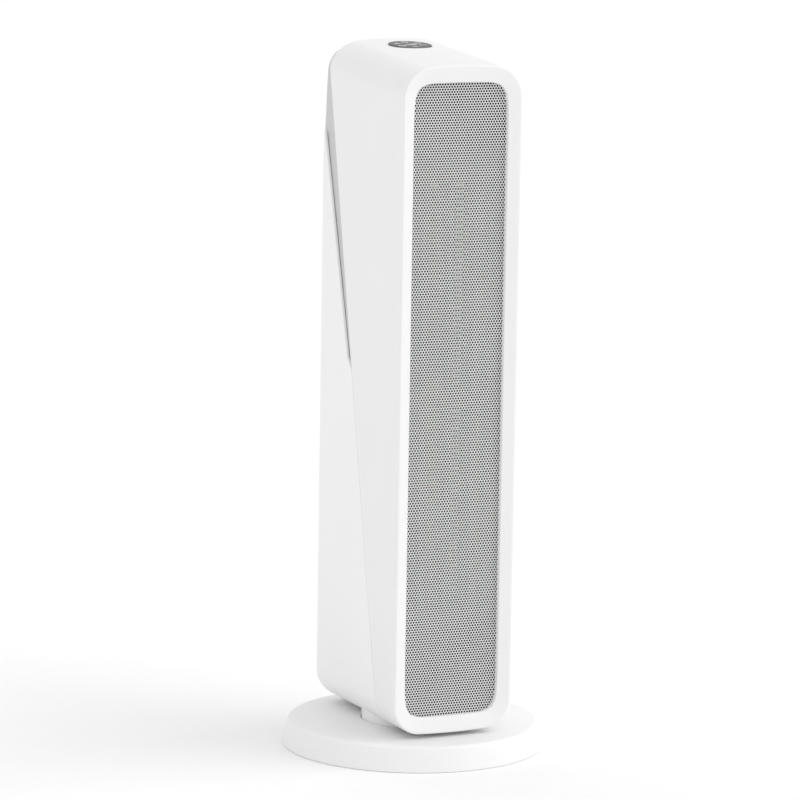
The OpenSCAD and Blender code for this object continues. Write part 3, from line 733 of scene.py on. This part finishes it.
bezel_row(outer(SPLIT, 0), SPLIT)
bezel_row(outer(FRONT + RIM, 0), FRONT + RIM)
for a in QUARTER:
    bezel_row(outer(FRONT + RIM, RIM * (1 - math.cos(a))), FRONT + RIM - RIM * math.sin(a))
rim_line = outer(FRONT + RIM, RIM)
edge_line = opening(INNER_R)
turn = 0.12                             # share of the face over which it turns into its slant
for s in (0.03, 0.06, 0.09, 0.12, 0.2, 0.35, 0.5, 0.65, 0.8, 0.9, 0.96, 1.0):
    fall = s * s / (2 * turn) if s < turn else s - turn / 2
    bezel_row(rim_line * (1 - s) + edge_line * s, FRONT + DISH * fall / (1 - turn / 2))
for a in QUARTER:
    bezel_row(opening(INNER_R * (1 - math.sin(a))), FRONT + DISH + INNER_R * (1 - math.cos(a)))
for points, y in (
    (opening(0), SHEET_Y - 0.05),
    (opening(OUTLET_WALL), SHEET_Y - 0.05),
    (opening(OUTLET_WALL), BEZEL_BACK),
    (outer(SPLIT, BEZEL_WALL), BEZEL_BACK),
    (outer(SPLIT, BEZEL_WALL), SPLIT + 0.02),
):
    bezel_row(points, y)
bezel_mesh = new_mesh("front_bezel", np.concatenate(bezel_rows), tube_faces(len(bezel_rows), len(start)))
add("front_bezel_frame", bezel_mesh, "tower", shell_white, ["front_bezel"])

# ---------------------------------------------------------------------------
# Perforated grille: staggered round holes, each with its own wall
# ---------------------------------------------------------------------------
PITCH = 2.5
ROW_H = PITCH * math.sqrt(3) / 2
HOLE_R = 1.0
SHEET_T = 0.35
SHEET_OVER = 1.0                        # how far the sheet reaches past the outlet's edge
PATTERN_SHIFT = (1.28, -0.45)           # of the holes against the outlet's middle


def sheet_field(x, z):
    """Negative inside the perforated sheet's outline."""
    return outlet_field(x, 0, z) - SHEET_OVER


def hole_centres():
    """Where the holes lie, and in which row. A few past the outline fill the cells it cuts."""
    z_low = grille_low[2] + 0.3
    rows = int((grille_high[2] - 0.3 - z_low) // ROW_H)
    r, c = np.meshgrid(np.arange(rows + 2), np.arange(-20, 20), indexing="ij")
    x = c * PITCH + np.where(r % 2 == 1, PITCH / 2, 0) + PATTERN_SHIFT[0]
    z = z_low + ROW_H * (r + 0.5) + PATTERN_SHIFT[1]
    near = sheet_field(x, z) < 1.6
    return x[near], z[near], r[near]


def clipped(points, face, cut):
    """The part of a flat face inside the sheet's outline. cut remembers the crossing on each edge."""
    kept = []
    for a, b in zip(face, face[1:] + face[:1]):
        inside_a, inside_b = cut["value"][a] < 0, cut["value"][b] < 0
        if inside_a:
            kept.append(a)
        if inside_a != inside_b:
            key = (min(a, b), max(a, b))
            if key not in cut["edges"]:
                p, q = np.array(points[key[0]]), np.array(points[key[1]])
                for _ in range(24):
                    m = (p + q) / 2
                    same = (sheet_field(m[0], m[1]) < 0) == (sheet_field(p[0], p[1]) < 0)
                    p, q = (m, q) if same else (p, m)
                cut["edges"][key] = len(points)
                points.append(tuple(p))
            kept.append(cut["edges"][key])
    return kept


def perforated(name, cx, cz):
    """A closed sheet of hexagonal cells with a round hole in each, cut to the outline."""
    corner = np.radians(30 + 60 * np.arange(6))
    rim = np.radians(30 + 30 * np.arange(12))

    def round_about(r, turns):
        return np.stack([cx[:, None] + r * np.cos(turns), cz[:, None] + r * np.sin(turns)], -1).reshape(-1, 2)

    hexes = round_about(PITCH / math.sqrt(3), corner)
    # neighbouring cells share their corners
    keys, ids = np.unique(np.round(hexes * 50).astype(int), axis=0, return_inverse=True)
    ids = ids.reshape(-1, 6)
    shared = np.zeros((len(keys), 2))
    shared[ids.reshape(-1)] = hexes
    first = len(shared)
    points = [tuple(p) for p in np.concatenate([shared, round_about(HOLE_R, rim)])]
    flat = []
    for n, c in enumerate(ids.tolist()):
        h = [first + 12 * n + i for i in range(12)]
        for i in range(6):
            flat.append([c[i], c[(i + 1) % 6], h[(2 * i + 2) % 12], h[2 * i + 1]])
            flat.append([c[i], h[2 * i + 1], h[2 * i]])
    where = np.array(points)
    value = sheet_field(where[:, 0], where[:, 1])
    cut = {"value": value, "edges": {}}
    faces = []
    for face in flat:
        inside = [value[i] < 0 for i in face]
        if all(inside):
            faces.append(face)
        elif any(inside):
            face = clipped(points, face, cut)
            if len(face) > 2:
                faces.append(face)
    used = sorted({i for f in faces for i in f})
    place = {old: new for new, old in enumerate(used)}
    faces = [[place[i] for i in f] for f in faces]
    n = len(used)
    verts = [(points[i][0] * MM, SHEET_Y * MM, points[i][1] * MM) for i in used]
    verts += [(x, (SHEET_Y + SHEET_T) * MM, z) for x, _, z in verts]
    edges = {(a, b) for f in faces for a, b in zip(f, f[1:] + f[:1])}
    walls = [(b, a, a + n, b + n) for a, b in edges if (b, a) not in edges]
    walls.sort()
    mesh = bpy.data.meshes.new(name)
    mesh.from_pydata(verts, [], faces + [[i + n for i in reversed(f)] for f in faces] + walls)
    mesh.update()
    return mesh


hole_x, hole_z, hole_row = hole_centres()
sections = np.array_split(np.unique(hole_row), 3)
for part, rows_in in zip(("low", "middle", "high"), sections):
    pick = np.isin(hole_row, rows_in)
    mesh = perforated("grille_" + part, hole_x[pick], hole_z[pick])
    add("front_grille_" + part, mesh, "tower", grille_white, ["front_grille"], sharp=35)

# ---------------------------------------------------------------------------
# Rear cover
# ---------------------------------------------------------------------------
ROCKER_HOLE = (28, 21, 0.5)             # width, height and corner radius
SCREW_X, SCREW_Z, SCREW_SEAT_R = 42, (96, 300, 488), 3.3

top_edge = seam_y(COVER_TOP) + SLOT_TOP_W
slot_open = SLOT_LOW + SLOT_RISE
cover_region = [
    (seam_y(0) + HAIR, 0), (FAR, 0), (FAR, COVER_TOP), (top_edge + 3, COVER_TOP), (top_edge, COVER_TOP - 3),
    (seam_y(slot_open) + SLOT_LOW_W, slot_open), (seam_y(SLOT_LOW) + HAIR, SLOT_LOW),
]
verts, faces = cut_skin(skin, cover_region, [0, 0, LIP, LIP, LIP, LIP, LIP], tower_field, WALL)
cover_mesh = new_mesh("rear_cover", verts, faces)

intake_low, intake_high = box_mm("intake_panel")
panel_w, panel_h = intake_high[0] - intake_low[0], intake_high[2] - intake_low[2]
panel_z = (intake_low[2] + intake_high[2]) / 2
frame_low, frame_high = box_mm("rocker_frame")
rocker_z = (frame_low[2] + frame_high[2]) / 2
tools = [
    prism(rounded_rect(panel_w + 0.8, panel_h + 0.8, 1.2, 0, panel_z), REAR - 12, REAR + 12, 1),
    prism(rounded_rect(*ROCKER_HOLE, 0, rocker_z), REAR - 12, REAR + 12, 1),
]
for z in SCREW_Z:
    for x in (-SCREW_X, SCREW_X):
        tools.append(prism(circle_points(SCREW_SEAT_R, x, z, 40), REAR - 1.2, REAR + 12, 1))
cover_mesh = carve(cover_mesh, tools)
add("rear_cover_skin", cover_mesh, "tower", cover_white_lit, ["rear_cover"])

# ---------------------------------------------------------------------------
# Inner housing: the grey carrier seen in the slot and above the cover
# ---------------------------------------------------------------------------
CAP_LOW = COVER_TOP + 0.4               # where the housing's flush top part starts
HOUSING_FRONT = -60.0
GRIP_LOW, GRIP_HIGH, GRIP_W = 545.0, 575.0, 70.0


def housing_field(x, y, z, rear_in):
    """1 mm below the front shell's edge, sinking to 2.9 mm below the rear cover's edge."""
    width = SLOT_LOW_W + (SLOT_TOP_W - SLOT_LOW_W) * (z - slot_open) / (COVER_TOP - slot_open)
    f = np.clip((y - seam_y(z)) / np.maximum(width, 2.0), 0, 1)
    return body_field(x, y, z, 1.0 + 1.9 * f, rear_in, (2.5, 8.0, 6.0))


def housing_part(name, rear_in, region, wall):
    def field(x, y, z):
        return housing_field(x, y, z, rear_in)

    verts, faces = cut_skin(tower_grid(field, HOUSING_FRONT), region, [0, 0, 0, 0.25], field, wall)
    return new_mesh(name, verts, faces)


low, high = seam_line(HAIR - 0.15)
cap_corner = (seam_y(CAP_LOW) + HAIR - 0.15, CAP_LOW)
housing_low = housing_part("housing_low", 3.3, [low, (FAR, 0), (FAR, CAP_LOW), cap_corner], 2.0)
housing_cap = housing_part("housing_cap", 0.3, [cap_corner, (FAR, CAP_LOW), (FAR, FAR), high], 3.6)
grip_block = prism([(56, GRIP_LOW - 2), (85.9, GRIP_LOW - 2), (79.0, GRIP_HIGH + 2), (56, GRIP_HIGH + 2)],
                   -GRIP_W / 2 - 2, GRIP_W / 2 + 2, 0)
housing_cap = carve(housing_cap, [grip_block], "UNION")
grip = prism(rounded_rect(GRIP_W, GRIP_HIGH - GRIP_LOW, 5, 0, (GRIP_LOW + GRIP_HIGH) / 2), 58, 120, 1)
housing_cap = carve(housing_cap, [grip])
housing_low = carve(housing_low, [
    prism(rounded_rect(panel_w - 4, panel_h - 4, 1, 0, panel_z), REAR - 14, REAR + 12, 1),
    prism(rounded_rect(*ROCKER_HOLE, 0, rocker_z), REAR - 14, REAR + 12, 1),
])
housing_mesh = joined("inner_housing", [housing_low, housing_cap])
add("inner_housing_skin", housing_mesh, "tower", grey_plastic, ["inner_housing"])

# ---------------------------------------------------------------------------
# Base
# ---------------------------------------------------------------------------
BASE_R, BASE_TOP_R = 115.0, 109.4
BASE_H = base_high[2]
NECK_HOLE_R = 45.8
RIM_R = 4.0                             # rounding between the top and the side
DOME = 0.9                              # how far the top rises towards the neck
UNDER_TOP = 19.0                        # height of the top's underside
slant = math.atan((BASE_R - BASE_TOP_R) / BASE_H)
rim_x = BASE_TOP_R - RIM_R * math.tan((math.pi / 2 - slant) / 2)
profile = [(NECK_HOLE_R, UNDER_TOP), (NECK_HOLE_R, BASE_H + 0.3)]
profile += arc(NECK_HOLE_R + 0.6, BASE_H + 0.3, 0.6, 180, 90, 4)[1:]
for r in np.linspace(50, rim_x, 14):
    k = (r - 46) / (rim_x - 46)
    profile.append((float(r), float(BASE_H + DOME * (1 - k * k) if r < rim_x - 1 else BASE_H)))
profile += arc(rim_x, BASE_H - RIM_R, RIM_R, 90, math.degrees(slant), 12)[1:]
side_low = BASE_R - 1.5 * math.tan(slant)
profile += arc(side_low - 0.5, 0.8, 0.6, math.degrees(slant), -90, 6)
profile += [(side_low - 3.0, 0.2), (107.4, UNDER_TOP)]
base_mesh = lathe("base_cover", profile, 320)
inlet_low, inlet_high = box_mm("cord_inlet")
lead_z = (inlet_low[2] + inlet_high[2]) / 2
base_mesh = carve(base_mesh, [
    prism(circle_points(6.05, 0, lead_z), 100, 130, 1),
    prism(circle_points(6.85, 0, lead_z), inlet_high[1] - 2.2, 130, 1),
])
add("base_cover_dome", base_mesh, "base", base_white, ["base_cover"])

# ---------------------------------------------------------------------------
# Touch disc with generic marks
# ---------------------------------------------------------------------------
disc_profile = [(0.0, -1.4), (DISC_R - 0.2, -1.4), (DISC_R, -1.2), (DISC_R, -0.15)]
disc_profile += arc(DISC_R - 0.45, -0.15, 0.45, 0, 90, 5)[1:]
disc_profile += [(DISC_R - 3, 0.32), (DISC_R * 0.5, 0.36), (0.0, 0.38)]
disc_mesh = lathe("control_disc", disc_profile, 160)
disc_mesh.transform(on_top)
add("control_disc_glass", disc_mesh, "tower", dark_glass, ["control_disc"])


def strip(points, width, level, thick=0.05):
    """A thin flat line along 2D points."""
    pts = [np.array(p, float) for p in points]
    left, right = [], []
    for i, p in enumerate(pts):
        a = pts[max(i - 1, 0)]
        b = pts[min(i + 1, len(pts) - 1)]
        d = (b - a) / max(np.linalg.norm(b - a), 1e-9)
        m = np.array([-d[1], d[0]]) * width / 2
        left.append(p + m)
        right.append(p - m)
    verts, faces = [], []
    n = len(pts)
    for z in (level, level + thick):
        verts += [(q[0], q[1], z) for q in left] + [(q[0], q[1], z) for q in right]
    t = 2 * n
    for i in range(n - 1):
        faces.append((t + i, t + n + i, t + n + i + 1, t + i + 1))
        faces.append((i, i + 1, n + i + 1, n + i))
        faces.append((i, t + i, t + i + 1, i + 1))
        faces.append((n + i, n + i + 1, t + n + i + 1, t + n + i))
    faces.append((0, n, t + n, t))
    faces.append((n - 1, t + n - 1, t + 2 * n - 1, 2 * n - 1))
    return verts, faces


def marks():
    """Points and faces of all marks: six round the rim, and four rising bars in the middle."""
    verts, faces = [], []

    def draw(points, width=0.7):
        v, f = strip(points, width, level=0.33)
        k = len(verts)
        verts.extend(v)
        faces.extend([tuple(i + k for i in q) for q in f])

    def ring(cx, cy, r, a0=0, a1=360, width=0.7):
        draw(arc(cx, cy, r, a0, a1, 24), width)

    # middle: a level shown by four bars
    for i in range(4):
        draw([(2.8 * i - 4.2, -3.9), (2.8 * i - 4.2, 1.6 * i - 0.9)], 1.5)
    # outer touch marks: power, plus, clock, minus, swing, warm air
    for i, kind in enumerate(("power", "plus", "clock", "minus", "swing", "warm")):
        a = math.radians(90 + 60 * i)
        cx, cy = 11.6 * math.cos(a), 11.6 * math.sin(a)
        if kind == "power":
            ring(cx, cy, 2.7, 125, 415, 1.1)
            draw([(cx, cy + 0.2), (cx, cy + 3.7)], 1.1)
        elif kind in ("plus", "minus"):
            draw([(cx - 2.8, cy), (cx + 2.8, cy)], 1.3)
            if kind == "plus":
                draw([(cx, cy - 2.8), (cx, cy + 2.8)], 1.3)
        elif kind == "clock":
            ring(cx, cy, 2.8, 0, 360, 0.9)
            draw([(cx, cy + 1.9), (cx, cy), (cx + 1.5, cy - 0.7)], 0.9)
        elif kind == "swing":
            ring(cx, cy - 1.8, 3.6, 40, 140, 1.1)
            draw([(cx - 2.9, cy + 2.1), (cx - 2.8, cy - 0.2)], 1.0)
            draw([(cx + 2.9, cy + 2.1), (cx + 2.8, cy - 0.2)], 1.0)
        else:
            for k in (-2.0, 0, 2.0):
                draw([(cx + k - 0.5, cy - 2.6), (cx + k + 0.5, cy - 0.9), (cx + k - 0.5, cy + 0.9),
                      (cx + k + 0.5, cy + 2.6)], 0.9)
    return verts, faces


mark_mesh = new_mesh("disc_marks", *marks())
mark_mesh.transform(on_top)
add("disc_marks", mark_mesh, "tower", print_white)

# ---------------------------------------------------------------------------
# Intake panel: border with a finger dip, middle bar, slats and hooks
# ---------------------------------------------------------------------------
def border(outer_line, inner_line, back_y, front_y, r):
    """A flat ring between two outlines, its edges on the front_y side rounded."""
    outer_line, inner_line = np.array(outer_line), np.array(inner_line)
    side = 1 if front_y > back_y else -1

    def pulled(line, by):
        middle = line.mean(axis=0)
        return line - np.sign(line - middle) * by

    rows = [(outer_line, back_y)]
    for a in np.radians([0, 30, 60, 90]):
        rows.append((pulled(outer_line, r * (1 - math.cos(a))), front_y - side * r * (1 - math.sin(a))))
    for a in np.radians([90, 60, 30, 0]):
        rows.append((pulled(inner_line, -r * (1 - math.cos(a))), front_y - side * r * (1 - math.sin(a))))
    rows.append((inner_line, back_y))
    n = len(outer_line)
    verts = [(x, y, z) for line, y in rows for x, z in line]
    return new_mesh("border", verts, tube_faces(len(rows), n))


PANEL_T = 3.0
SLAT_PITCH, SLAT_COUNT, SLAT_H = 7.0, 48, 3.0
panel_y = REAR - PANEL_T / 2
slats_low = intake_low[2] + 9
slats_high = slats_low + (SLAT_COUNT + 1) * SLAT_PITCH - SLAT_H
panel_border = border(rounded_rect(panel_w, panel_h, 1.2, 0, panel_z),
                      rounded_rect(panel_w - 12, slats_high - slats_low, 1.2, 0, (slats_low + slats_high) / 2),
                      REAR - PANEL_T, REAR, 0.5)
finger_dip = prism(circle_points(9, 0, intake_high[2]), REAR - 1.5, REAR + 5, 1)
panel_parts = [carve(panel_border, [finger_dip])]
for i in range(SLAT_COUNT):
    z = slats_low + 4 + i * SLAT_PITCH + 1.5
    slat = rounded_rect(PANEL_T - 0.3, SLAT_H, 0.7, panel_y, z, 4)
    panel_parts.append(prism(slat, -panel_w / 2 + 5, panel_w / 2 - 5, 0))
middle_bar = rounded_rect(4, PANEL_T - 0.2, 0.6, 0, panel_y, 4)
panel_parts.append(prism(middle_bar, slats_low - 1, slats_high + 1, 2))
for x in (-20, 20):
    hook = rounded_rect(12, 5.5, 0.5, x, REAR - PANEL_T - 2.25, 3)
    panel_parts.append(prism(hook, intake_low[2] + 2.6, intake_low[2] + 4.6, 2))
panel_mesh = joined("intake_panel", panel_parts)
add("intake_panel_slats", panel_mesh, "intake", cover_white_lit, ["intake_panel"])

# ---------------------------------------------------------------------------
# Rear details and feet, with rounded edges
# ---------------------------------------------------------------------------
for node, width, body, mat in (
    ("rocker_frame", 0.4, "tower", black_plastic),
    ("mains_rocker", 0.4, "rocker", black_plastic),
    ("cord_inlet", 0.5, "base", rubber_grey),
    ("rubber_feet", 0.4, "base", rubber),
    ("cover_screws", 0.15, "tower", steel),
    ("tip_plunger", 0.4, "plunger", cream_plastic),
    ("base_plate", 0.5, "base", black_plastic),
    ("base_screws", 0.15, "base", steel),
    ("swivel_neck", 0.5, "tower", shell_white),
):
    add(node + "_finished", bevelled_copy(node, width), body, mat, [node])

# ---------------------------------------------------------------------------
# Floor, camera, light
# ---------------------------------------------------------------------------
FLOOR_HALF = 40.0                       # in metres
floor_mat = material("floor", (0.955, 0.955, 0.955), 0.85, vary=0.01, rough_vary=0.05, grain=0.02,
                     edge=0.0, specular=0.1)
corners = [(x * FLOOR_HALF, y * FLOOR_HALF, 0) for x, y in ((-1, -1), (1, -1), (1, 1), (-1, 1))]
floor_mesh = bpy.data.meshes.new("floor")
floor_mesh.from_pydata(corners, [], [(0, 1, 2, 3)])
floor = bpy.data.objects.new("floor", floor_mesh)
bpy.context.scene.collection.objects.link(floor)
floor_mesh.materials.append(floor_mat)

# the camera looks down a little, from the front and left of the heater
CAMERA_AT = (-1.5743, -3.3203, 0.9007)
yaw, pitch, roll = (math.radians(v) for v in (-25.124, 9.225, 0.928))
level = Vector((math.cos(yaw), math.sin(yaw), 0))
back = Vector((math.sin(yaw) * math.cos(pitch), -math.cos(yaw) * math.cos(pitch), math.sin(pitch)))
upright = back.cross(level)
right = math.cos(roll) * level + math.sin(roll) * upright
up = -math.sin(roll) * level + math.cos(roll) * upright
camera_data = bpy.data.cameras.new("camera")
camera_data.sensor_width = 36
camera_data.lens = 192.95
camera_data.clip_end = 100
camera = bpy.data.objects.new("camera", camera_data)
bpy.context.scene.collection.objects.link(camera)
camera.matrix_world = Matrix.Translation(CAMERA_AT) @ Matrix((right, up, back)).transposed().to_4x4()
bpy.context.scene.camera = camera

world = bpy.data.worlds.new("studio")
world.use_nodes = True
world.node_tree.nodes["Background"].inputs["Color"].default_value = (1, 1, 1, 1)
world.node_tree.nodes["Background"].inputs["Strength"].default_value = 0.885
bpy.context.scene.world = world

# one large soft light, from high on the right and a little in front
key_data = bpy.data.lights.new("key", "SUN")
key_data.energy = 0.88
key_data.angle = math.radians(55)
key = bpy.data.objects.new("key", key_data)
key.rotation_euler = Vector((0.66, -0.38, 0.65)).to_track_quat("Z", "Y").to_euler()
key.location = (1.4, -0.7, 1.6)
bpy.context.scene.collection.objects.link(key)

bpy.context.scene.view_settings.view_transform = "Standard"
bpy.context.scene.view_settings.look = "None"
